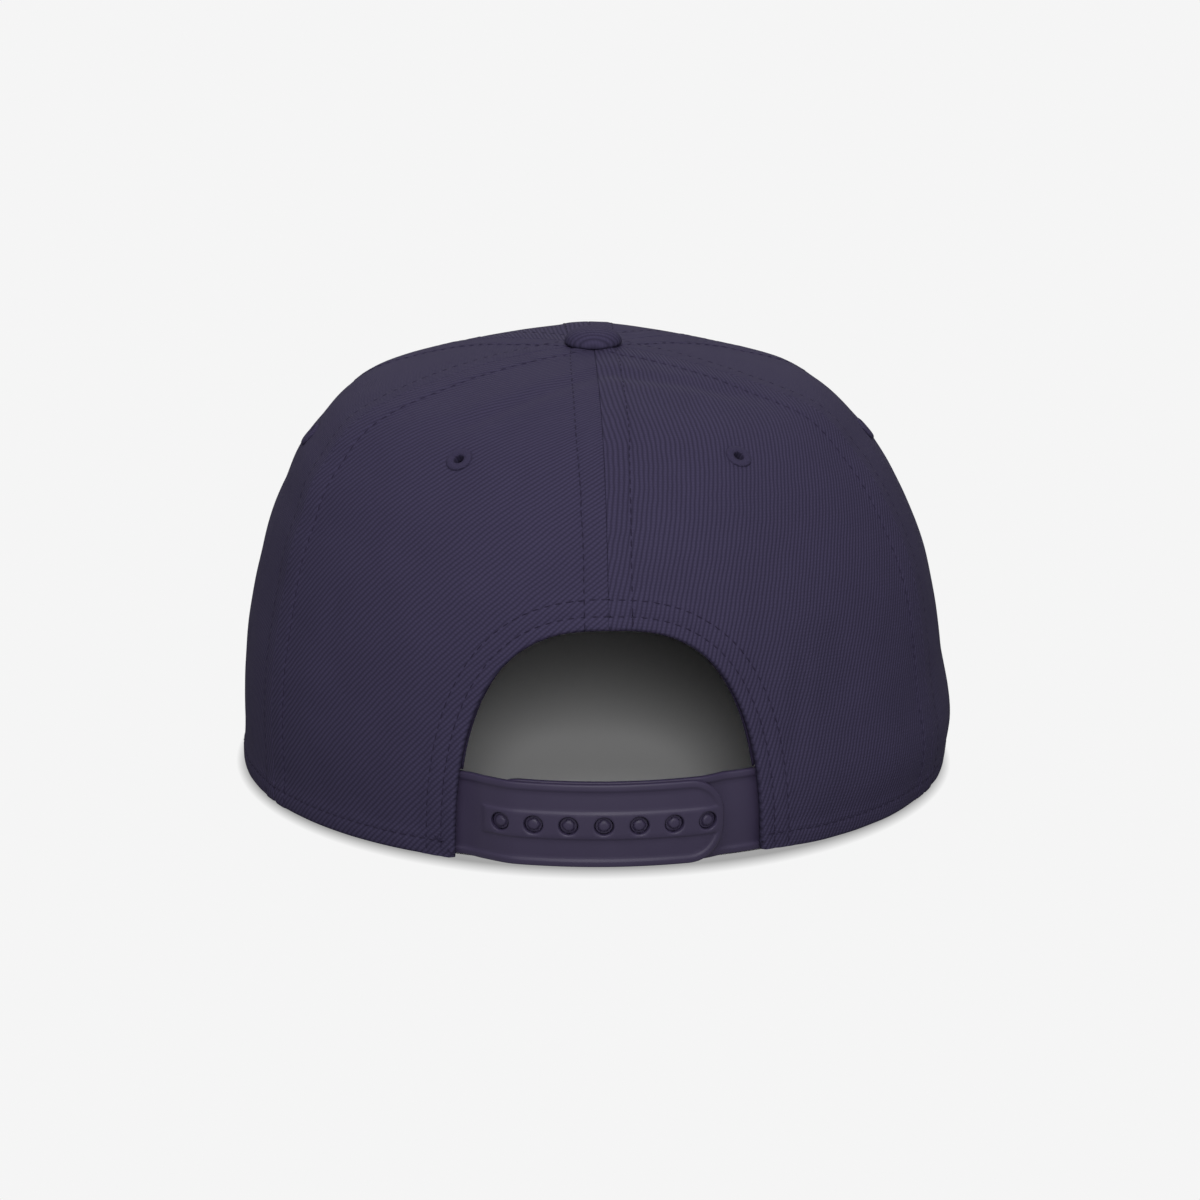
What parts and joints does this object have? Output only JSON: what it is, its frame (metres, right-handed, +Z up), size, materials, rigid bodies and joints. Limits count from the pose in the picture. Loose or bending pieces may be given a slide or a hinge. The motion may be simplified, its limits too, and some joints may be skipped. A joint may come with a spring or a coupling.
{
  "type": "snapback cap",
  "caption": "Six-panel cloth cap with a flat visor, a covered top button and an arched back opening closed by a moulded snap strap.",
  "frame": {"origin": "middle of the bounding box, on the table plane under the cap", "axes": "+Z up, visor toward -Y, arched back opening and snap strap toward +Y, the side on the left of the picture toward +X"},
  "size_m": [0.1742, 0.2642, 0.1088],
  "materials": {
    "crown_cloth": "fine twill, matte",
    "button_cloth": "fine twill, matte",
    "visor_cloth": "fine twill, stitched in rows",
    "eyelet_thread": "wound thread",
    "sweatband_cloth": "matte",
    "binding_tape": "woven tape, matte",
    "strap_plastic": "moulded, satin"
  },
  "bodies": {
    "root": {"back_left_panel": "crown_cloth", "back_right_panel": "crown_cloth", "side_left_panel": "crown_cloth", "side_right_panel": "crown_cloth", "front_left_panel": "crown_cloth", "front_right_panel": "crown_cloth", "eyelet_back_left": "eyelet_thread", "eyelet_back_right": "eyelet_thread", "eyelet_side_left": "eyelet_thread", "eyelet_side_right": "eyelet_thread", "eyelet_front_left": "eyelet_thread", "eyelet_front_right": "eyelet_thread", "top_button": "button_cloth", "visor": "visor_cloth", "sweatband": "sweatband_cloth", "arch_tape": "binding_tape", "strap_outer": "strap_plastic", "strap_inner": "strap_plastic"}
  },
  "joints": []
}
